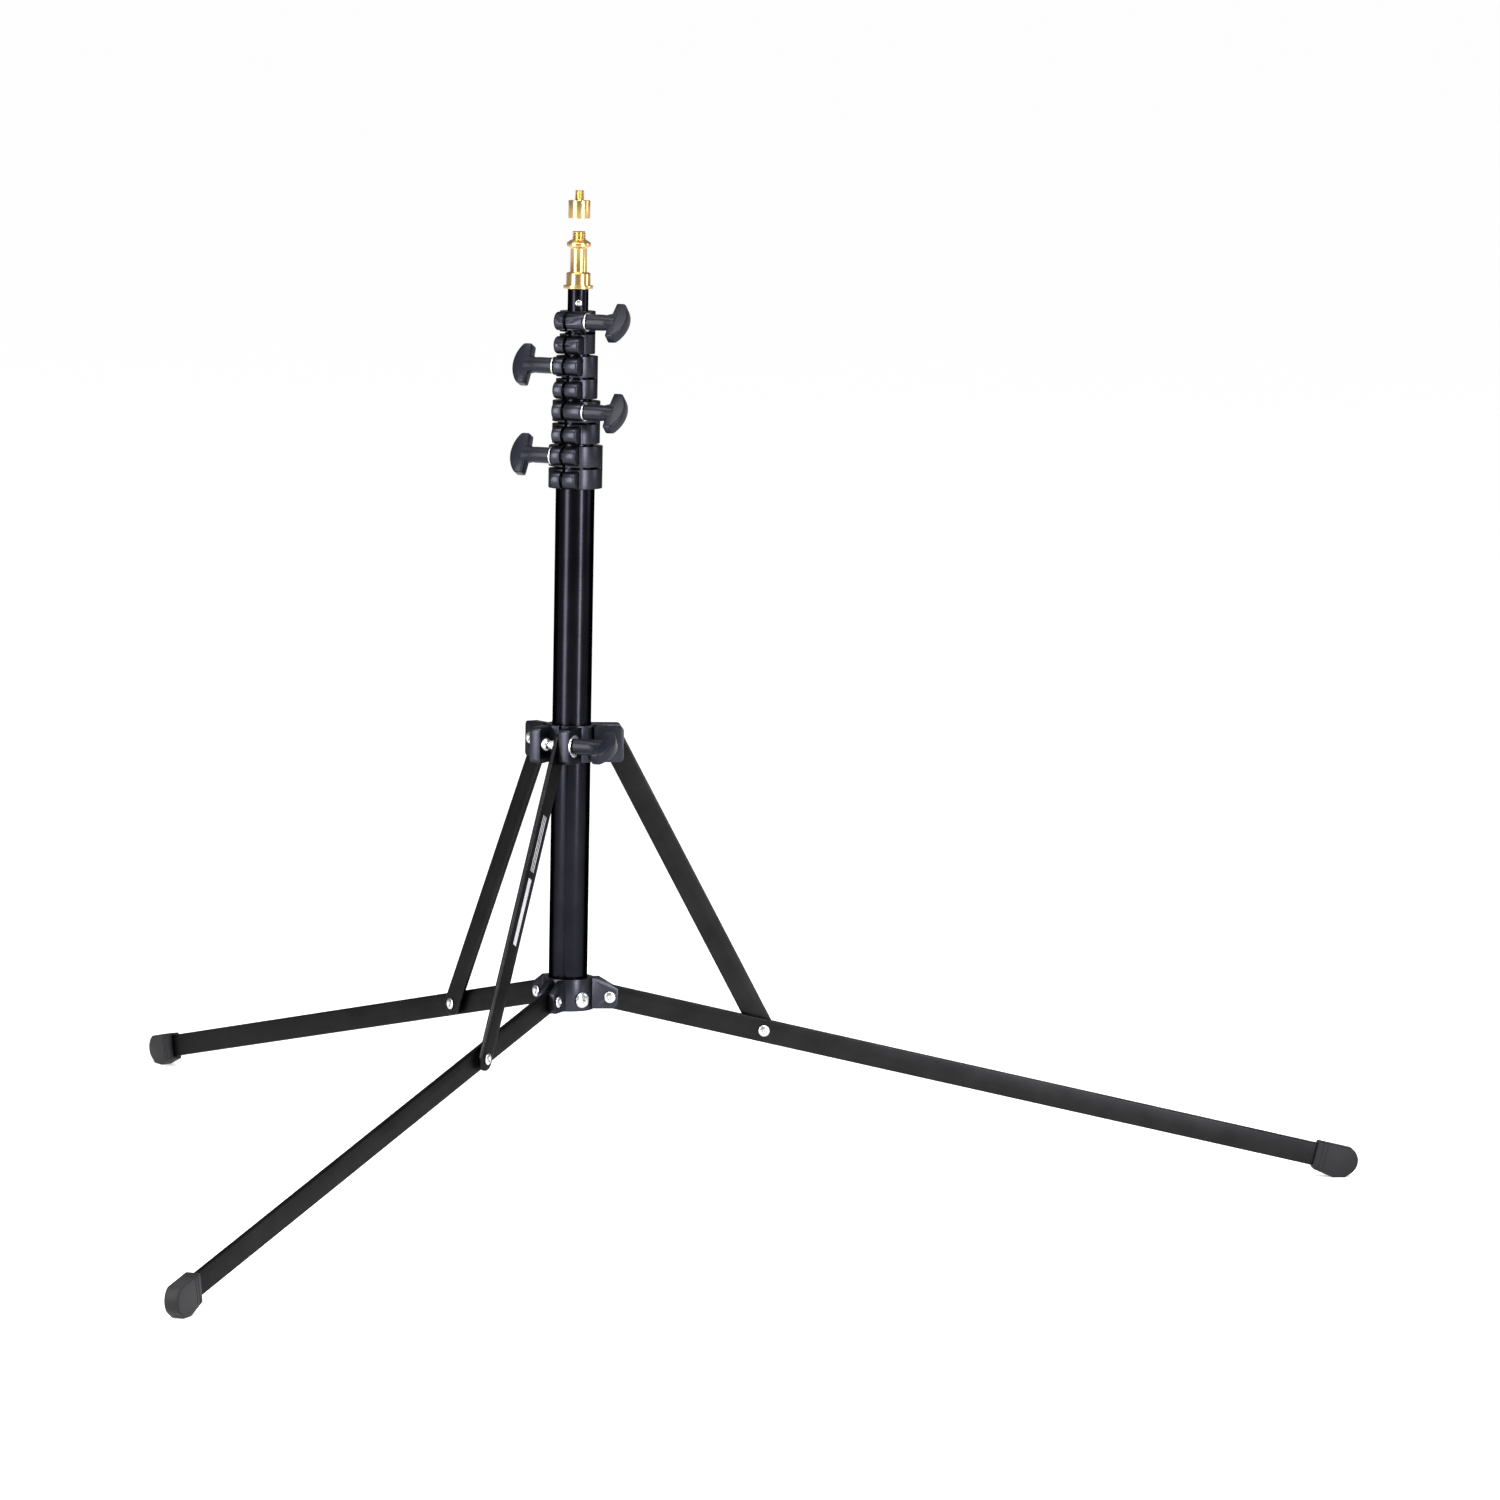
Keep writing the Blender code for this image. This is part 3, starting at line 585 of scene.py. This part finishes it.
def show_base():
    low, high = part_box("base_collar")
    bottom = low.z + EAR_INSET
    top = high.z - EAR_INSET
    reach = BASE_EAR_REACH
    near, far = BASE_EARS
    ear = [(EAR_ROOT, bottom), (reach - BASE_EAR_CORNER[0], bottom), (reach, low.z + BASE_EAR_CORNER[1])]
    ear += [(reach, high.z - BASE_EAR_SHOULDER[1]), (BASE_EAR_SHOULDER[0], top), (EAR_ROOT, top)]
    bore = tube_bore()
    steps = [("UNION", slab(ear, -far, far), spin(turn)) for turn in LEGS.values()]
    for turn in LEGS.values():
        slot = block((COLLAR_RADIUS + BASE_SLOT_PAST, RADIAL_CUT), (-near, near), BASE_CUT_Z)
        steps.append(("DIFFERENCE", slot, spin(turn)))
        hole = spin(turn) @ shift(PIVOT_RADIUS, 0, LEG_PIVOT_Z) @ ALONG_Y
        steps.append(("DIFFERENCE", rod(PIN_HOLE, -CUT, CUT), hole))
    steps.append(("DIFFERENCE", rod(bore, *BASE_CUT_Z, ROUND_STEPS)))
    screw = shift(0, 0, BASE_SCREW_Z) @ spin(BASE_SCREW_TURN) @ ALONG_X
    steps.append(("DIFFERENCE", rod(*BASE_SCREW_HOLE), screw))
    steps.append(("BEVEL", BASE_EDGE, 2))
    show("base_collar", shaped(rod(COLLAR_RADIUS, low.z, high.z, ROUND_STEPS), *steps), ON_COLUMN)
    seat = COLLAR_RADIUS + GAP
    outline = [(0, bore), (BASE_SCREW_SHANK, bore), (BASE_SCREW_SHANK, seat)]
    outline += raised(BASE_SCREW_HEAD, seat)
    show("base_collar_screw", turned(outline, FINE_STEPS), ON_COLUMN @ screw)
    for name, turn in LEGS.items():
        place = ON_COLUMN @ spin(turn) @ shift(PIVOT_RADIUS, 0, LEG_PIVOT_Z) @ ALONG_Y
        show(f"leg_rivet_{name}", rivet_form(-far - GAP, far + GAP), place)


def bar_form(length, low, high, round_end, holes):
    """A flat bar along X with eased edges, a round start, and (place, radius) holes across it."""
    half = BAR_HALF_HEIGHT
    end = arc((length, 0), half, -90, 90, ARC_STEPS) if round_end else [(length, -half), (length, half)]
    form = slab(arc((0, 0), half, 90, 270, ARC_STEPS) + end, low, high)
    cuts = []
    for x, radius in holes:
        cuts.append(("DIFFERENCE", rod(radius, low - CUT, high + CUT), shift(x, 0, 0) @ ALONG_Y))
    return shaped(form, ("BEVEL", BAR_EDGE, 4), *cuts)


def leg_place(name):
    joint = JOINTS[f"leg_fold_{name}"]
    return Matrix.Translation(joint["pos_m"]) @ spin(LEGS[name]) @ Matrix.Rotation(LEG_SLOPE, 4, "Y")


def show_leg(name):
    place = leg_place(name)
    low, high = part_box("leg_right")
    half = (high.y - low.y) / 2
    holes = [(0, PIN_HOLE), (BRACE_PIN_X, PIN_HOLE)]
    show(f"leg_{name}", bar_form(LEG_LENGTH, -half, half, False, holes), place, LOOKS["black_bar"])
    pin = [(r, -half - GAP - z) for r, z in dome(RIVET_HEAD, 0, RIVET_RISE)][::-1]
    pin += [(PIN_RADIUS, -half - GAP), (PIN_RADIUS, half), (0, half)]
    show(f"leg_pin_{name}", turned(pin), place @ shift(BRACE_PIN_X, 0, 0) @ ALONG_Y)
    show_foot(name, place, half)


def sole_height(x):
    """Height across the leg at which the floor crosses it."""
    return (x * math.sin(LEG_SLOPE) - LEG_PIVOT_Z) / math.cos(LEG_SLOPE)


def show_foot(name, place, half):
    """Rubber cap with soft edges, a flat sole and two shallow grooves round it near its mouth."""
    outline = [(FOOT_START, FOOT_BOTTOM)] + [(x, sole_height(x)) for x in FOOT_SOLE]
    outline += arc((FOOT_TIP_X, 0), FOOT_TIP_RADIUS, *FOOT_TIP_ARC) + [(FOOT_START, FOOT_TOP)]
    wide = half + GAP
    tall = BAR_HALF_HEIGHT + GAP
    pocket = block((FOOT_START - FOOT_POCKET_PAST, LEG_LENGTH + GAP), (-wide, wide), (-tall, tall))
    steps = [("BEVEL", FOOT_EDGE, 4)]
    for x in GROOVES:
        groove = block((x - GROOVE_HALF, x + GROOVE_HALF), *GROOVE_OUTSIDE)
        floor = block((x - CUT_PAST, x + CUT_PAST), *GROOVE_FLOOR)
        steps.append(("DIFFERENCE", shaped(groove, ("DIFFERENCE", floor))))
    steps.append(("DIFFERENCE", pocket))
    show(f"foot_{name}", shaped(slab(outline, -FOOT_HALF_WIDTH, FOOT_HALF_WIDTH), *steps), place)


def collar_height():
    return JOINTS["brace_swing_right"]["pos_m"][2]


def show_collar():
    low, high = SLIDE_Z
    near, far = SLIDE_EARS
    corner = SLIDE_EAR_CORNER
    corner_x = SLIDE_EAR_REACH - corner
    ear = [(EAR_ROOT, low + EAR_INSET)]
    ear += arc((corner_x, low + EAR_INSET + corner), corner, -90, 0, EAR_STEPS)
    ear += arc((corner_x, high - EAR_INSET - corner), corner, 0, 90, EAR_STEPS)
    ear.append((EAR_ROOT, high - EAR_INSET))
    tall = (-WIDE_CUT, WIDE_CUT)
    steps = [("UNION", slab(ear, -far, far), spin(turn)) for turn in LEGS.values()]
    for turn in LEGS.values():
        slot = block((COLLAR_RADIUS + SLIDE_SLOT_PAST, RADIAL_CUT), (-near, near), tall)
        steps.append(("DIFFERENCE", slot, spin(turn)))
    steps.append(("DIFFERENCE", rod(tube_bore(), *tall, ROUND_STEPS)))
    steps.append(("DIFFERENCE", block((0, WIDE_CUT), (-SLIDE_SPLIT, SLIDE_SPLIT), tall), FRONT_TURN))
    pin = shift(PIVOT_RADIUS, 0, 0) @ ALONG_Y
    steps.append(("DIFFERENCE", rod(COLLAR_BOLT_HOLE, COLLAR_HOLE_START, WIDE_CUT), FRONT_TURN @ pin))
    for name in ("right", "rear"):
        steps.append(("DIFFERENCE", rod(PIN_HOLE, 0, WIDE_CUT), spin(LEGS[name]) @ pin))
    steps.append(("BEVEL", SLIDE_EDGE, 2))
    place = ON_COLUMN @ shift(0, 0, collar_height())
    show("slide_collar", shaped(rod(COLLAR_RADIUS, low, high, ROUND_STEPS), *steps), place)
    show("collar_nut", turned(COLLAR_NUT, FINE_STEPS), place @ FRONT_TURN @ pin)
    for name in ("right", "rear"):
        outline = stepped(BRACE_FACES[0] - GAP, (PIN_RADIUS, far + GAP))[:-1]
        outline += dome(RIVET_HEAD, far + GAP, RIVET_RISE)
        show(f"brace_rivet_{name}", turned(outline), place @ spin(LEGS[name]) @ pin)


def show_brace(name):
    low, high = BRACE_FACES
    drop = collar_height() - LEG_PIVOT_Z + BRACE_PIN_X * math.sin(LEG_SLOPE)
    reach = BRACE_PIN_X * math.cos(LEG_SLOPE)
    length = math.hypot(reach, drop)
    tilt = Matrix.Rotation(math.atan2(drop, reach), 4, "Y")
    place = Matrix.Translation(JOINTS[f"brace_swing_{name}"]["pos_m"]) @ spin(LEGS[name]) @ tilt
    upper = COLLAR_BOLT_HOLE if name == "front" else PIN_HOLE
    holes = [(0, upper), (length, PIN_HOLE)]
    show(f"brace_{name}", bar_form(length, low, high, True, holes), place, LOOKS["black_bar"])
    start, end = BRACE_WASHER_FACES
    outline = stepped(start, (BRACE_WASHER_RADIUS, end), (PIN_RADIUS, high + GAP))[:-1]
    pin = turned(outline + dome(RIVET_HEAD, high + GAP, RIVET_RISE))
    show(f"brace_pin_{name}", pin, place @ shift(length, 0, 0) @ ALONG_Y)
    if name == "front":
        show_strips(place, high)


def show_strips(place, face):
    """A plain printed strip and three fine lines along the front brace's outer face."""
    bars = [(STRIP_X, (-STRIP_HALF, STRIP_HALF))]
    bars += [(LINE_X, (z - LINE_HALF, z + LINE_HALF)) for z in LINE_HEIGHTS]
    for number, (along, across) in enumerate(bars):
        form = block(along, (face - PRINT_SUNK, face + PRINT_RISE), across)
        show("brace_front", form, place, LOOKS["label_print"], name=f"brace_strip_{number + 1}")


def lug_mesh(distance, back, size, low, high):
    z, radius = size
    outline = arc((distance, z), radius, -90, 90, ARC_STEPS) + [(back, z + radius), (back, z - radius)]
    return shaped(slab(outline, low, high), ("BEVEL", LUG_EDGE, 4))


def show_clamp(level):
    """A split sleeve with two lugs: a sunk screw draws the lower one in, a knob the upper one."""
    node = f"clamp_{level + 1}"
    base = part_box(node)[0].z
    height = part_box(node)[1].z - base
    place = ON_COLUMN @ shift(0, 0, base) @ FRONT_TURN
    wide, narrow = (column_place(tube)[1] + GAP for tube in TUBES[level:level + 2])
    outer = wide - GAP + SLEEVE_WALL - SLEEVE_THINNING * level
    distance = LUG_DISTANCES[level]
    side = KNOB_SIDES[level]
    low, high = LUG_ENDS
    upper_high = LONG_LUG_END if side > 0 else high
    face, far_end = (upper_high, low) if side > 0 else (low, upper_high)
    middle = height / 2
    sleeve = [(outer, middle), (outer, height), (narrow, height), (narrow, CLAMP_SHOULDER)]
    sleeve += [(wide, CLAMP_SHOULDER), (wide, 0), (outer, 0), (outer, middle)]
    form = turned(eased(sleeve, SLEEVE_EDGE)[:-1], ROUND_STEPS)
    ends = sorted((face + side * SPOT_DEPTH, far_end))
    head_base = low + SCREW_SINK
    slot = stepped(-WIDE_CUT, (SCREW_SEAT, head_base), SCREW_HOLE)
    reach = abs(face - far_end) - BOLT_HOLE_WALL
    drill = stepped(-reach, (BOLT_HOLE, 0), (SPOT_RADIUS, WIDE_CUT))
    along = ALONG_Y if side > 0 else ALONG_Y.inverted()
    slit = block((0, LONG_CUT), (-LUG_SLIT, LUG_SLIT), (-CUT_PAST, height + CUT_PAST))
    lower_hole = shift(distance, 0, LOWER_LUG[0]) @ ALONG_Y
    mesh = shaped(
        form,
        ("UNION", lug_mesh(distance, wide + LUG_BACK, LOWER_LUG, low, high)),
        ("UNION", lug_mesh(distance, wide + LUG_BACK, UPPER_LUG, *ends)),
        ("DIFFERENCE", slit),
        ("DIFFERENCE", block((SAW_BACK, LONG_CUT), (-LONG_CUT, LONG_CUT), SAW_CUT)),
        ("DIFFERENCE", turned(slot), lower_hole),
        ("DIFFERENCE", turned(drill), shift(distance, face, UPPER_LUG[0]) @ along),
        ("BEVEL", CLAMP_EDGE, 2),
    )
    show(node, mesh, place)
    top = low + GAP
    socket_radius, socket_depth = SCREW_SOCKET
    socket = top + socket_depth
    screw = [(0, socket), (socket_radius, socket), (socket_radius, top)]
    screw += stepped(top, (SCREW_HEAD, head_base - GAP), SCREW_SHANK)[1:]
    show(f"clamp_screw_{level + 1}", turned(screw), place @ lower_hole)
    turn = math.radians(90 - side * KNOB_LEANS[level])
    show_knob("clamp", f"_{level + 1}", f"clamp_knob_turn_{level + 1}", turn, CLAMP_WASHER,
              (CLAMP_BOLT, GAP - reach))


def knob_mesh(bolt_radius):
    """A moulded T-knob: a stem with a shallow waist, faired into a rounded wing."""
    centre = KNOB_CROWN_Z - KNOB_CROWN_RADIUS
    lean = math.degrees(math.asin(KNOB_HALF_SPAN / KNOB_CROWN_RADIUS))
    low = KNOB_WING_Z + KNOB_WING_LIP
    wing = [(KNOB_HALF_SPAN, low)] + arc((0, centre), KNOB_CROWN_RADIUS, 90 - lean, 90 + lean, ARC_STEPS)
    wing += [(-KNOB_HALF_SPAN, low), (-KNOB_STEM, KNOB_WING_Z), (KNOB_STEM, KNOB_WING_Z)]
    wide = (-WIDE_CUT, WIDE_CUT)
    tall = (0, LONG_CUT)
    flare = shaped(
        turned(KNOB_FLARE, FINE_STEPS),
        ("DIFFERENCE", block(wide, (KNOB_FLARE_HALF, WIDE_CUT), tall)),
        ("DIFFERENCE", block(wide, (-WIDE_CUT, -KNOB_FLARE_HALF), tall)),
    )
    return shaped(
        slab(wing, -KNOB_HALF_THICKNESS, KNOB_HALF_THICKNESS),
        ("BEVEL", KNOB_WING_EDGE, 4),
        ("UNION", turned(KNOB_STEM_OUTLINE, FINE_STEPS)),
        ("UNION", flare),
        ("DIFFERENCE", rod(bolt_radius + GAP, -CUT_PAST, KNOB_SOCKET)),
    )


def show_knob(group, suffix, joint, turn, washer, bolt):
    """A knob with its washer (radius, height) and bolt (radius, where it starts) on its joint's axis."""
    spot = Vector(JOINTS[joint]["pos_m"])
    axis = Vector(JOINTS[joint]["axis"]).normalized()
    out = spot - COLUMN
    out.z = 0
    out = (out - out.dot(axis) * axis).normalized()
    place = Matrix.Translation(spot) @ Matrix((out, axis.cross(out), axis)).transposed().to_4x4()
    washer_radius, washer_height = washer
    bolt_radius, bolt_start = bolt
    seat = 2 * GAP + washer_height
    plate = ring(bolt_radius + GAP, washer_radius, GAP, GAP + washer_height, FINE_STEPS, WASHER_EDGE)
    show(f"{group}_washer{suffix}", plate, place)
    shank = rod(bolt_radius, bolt_start, seat + KNOB_SOCKET - GAP, SMALL_STEPS, SOFT_EDGE)
    show(f"{group}_bolt{suffix}", shank, place)
    show(f"{group}_knob{suffix}", knob_mesh(bolt_radius), place @ shift(0, 0, seat) @ spin(turn))


def show_stud():
    low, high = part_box("stud")
    top = high.z - low.z
    stem = column_place("riser_4")[1] - TUBE_WALL - GAP
    outline = [(0, 0), (stem, 0), (stem, STUD_FLANGE_Z)] + raised(STUD_BODY, STUD_FLANGE_Z)
    points = eased(outline, STUD_EDGE)
    points += thread(STUD_THREAD, STUD_FLANGE_Z + STUD_THREAD_START, top - THREAD_CHAMFER)
    points += [(STUD_END_RADIUS, top), (0, top)]
    hole = shift(0, 0, pin_height() - low.z) @ ALONG_Y
    mesh = shaped(turned(points, ROUND_STEPS), ("DIFFERENCE", rod(STUD_PIN_HOLE, -CUT, CUT), hole))
    show("stud", mesh, ON_COLUMN @ shift(0, 0, low.z))
    end = column_place("riser_4")[1] + GAP
    place = ON_COLUMN @ shift(0, 0, pin_height()) @ ALONG_Y
    show("stud_pin", rivet_form(-end, end, *STUD_PIN), place)


def show_adapter():
    low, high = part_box("adapter")
    top = high.z - low.z
    points = eased(ADAPTER_BODY, ADAPTER_EDGE)
    points += thread(ADAPTER_THREAD, ADAPTER_THREAD_START, top - THREAD_CHAMFER)
    points += [(ADAPTER_END_RADIUS, top), (0, top)]
    show("adapter", turned(points, ROUND_STEPS), ON_COLUMN @ shift(0, 0, low.z))


# ---- Stage ----

def add_camera():
    yaw, pitch, roll = CAMERA_YAW, CAMERA_PITCH, CAMERA_ROLL
    forward = Vector((math.sin(yaw) * math.cos(pitch), math.cos(yaw) * math.cos(pitch), math.sin(pitch)))
    level = Vector((math.cos(yaw), -math.sin(yaw), 0))
    upright = level.cross(forward)
    right = math.cos(roll) * level + math.sin(roll) * upright
    up = math.cos(roll) * upright - math.sin(roll) * level
    aim = Matrix((right, up, -forward)).transposed().to_4x4()
    data = bpy.data.cameras.new("camera")
    data.sensor_width = SENSOR_WIDTH
    data.lens = CAMERA_LENS
    data.clip_end = 3 * FLOOR_HALF
    camera = bpy.data.objects.new("camera", data)
    bpy.context.scene.collection.objects.link(camera)
    camera.matrix_world = ON_COLUMN @ spin(-LEG_TURN) @ Matrix.Translation(CAMERA_SPOT) @ aim
    bpy.context.scene.camera = camera


def add_light(name, kind, spot, power, size=(1, 1)):
    """A lamp about the column, aimed at the middle of the stand."""
    data = bpy.data.lights.new(name, kind)
    data.energy = power
    if kind == "AREA":
        data.shape = "RECTANGLE"
        data.size, data.size_y = size
    else:
        data.angle = SKY_SPREAD
    light = bpy.data.objects.new(name, data)
    bpy.context.scene.collection.objects.link(light)
    light.location = COLUMN + Vector(spot)
    light.rotation_euler = (LIGHT_AIM - Vector(spot)).to_track_quat("-Z", "Y").to_euler()


def add_stage():
    side = FLOOR_HALF
    floor = loose(block((-side, side), (-side, side), (-FLOOR_THICKNESS, 0)))
    floor.name = "floor"
    paper = bpy.data.materials.new("floor")
    paper.use_nodes = True
    shader = paper.node_tree.nodes["Principled BSDF"]
    shader.inputs["Base Color"].default_value = PAPER_TONE
    shader.inputs["Roughness"].default_value = PAPER_ROUGHNESS
    shader.inputs["Specular IOR Level"].default_value = PAPER_SHINE
    shader.inputs["Emission Color"].default_value = WHITE
    shader.inputs["Emission Strength"].default_value = PAPER_GLOW
    floor.data.materials.append(paper)
    world = bpy.data.worlds.new("world")
    world.use_nodes = True
    sky = world.node_tree.nodes["Background"]
    sky.inputs["Color"].default_value = WHITE
    sky.inputs["Strength"].default_value = WORLD_STRENGTH
    bpy.context.scene.world = world
    bpy.context.scene.view_settings.view_transform = "Standard"
    for lamp in LIGHTS:
        add_light(*lamp)


add_camera()
add_stage()
show_tubes()
show_base()
for leg in LEGS:
    show_leg(leg)
show_collar()
for leg in LEGS:
    show_brace(leg)
show_knob("collar", "", "collar_knob_turn", math.radians(90 - COLLAR_KNOB_LEAN), COLLAR_WASHER, COLLAR_BOLT)
for tube_level in range(len(LUG_DISTANCES)):
    show_clamp(tube_level)
show_stud()
show_adapter()
